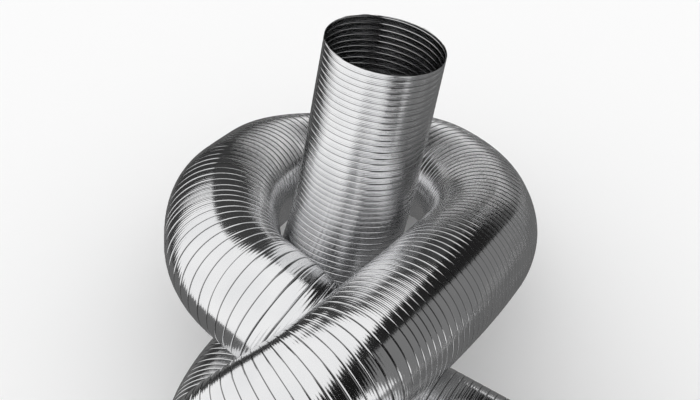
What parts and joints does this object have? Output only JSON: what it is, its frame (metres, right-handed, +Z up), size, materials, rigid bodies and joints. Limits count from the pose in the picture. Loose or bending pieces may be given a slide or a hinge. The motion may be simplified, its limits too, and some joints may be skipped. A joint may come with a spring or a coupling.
{
  "type": "flexible aluminium duct",
  "caption": "Length of 100 mm semi-rigid corrugated aluminium ventilation duct, bent by hand into an overhand knot, with both ends open.",
  "frame": {"origin": "on the floor that the duct lies on, under the middle of its bounding box", "axes": "+Z up, away from the floor; +Y from the tail's end towards the knot and away from the picture's camera; +X to the right of the picture"},
  "size_m": [0.7376, 0.8321, 0.3464],
  "materials": {
    "aluminium_foil": "bright rolled aluminium strip, finely corrugated, with a folded seam every turn"
  },
  "bodies": {
    "root": {"duct": "aluminium_foil"}
  },
  "joints": []
}
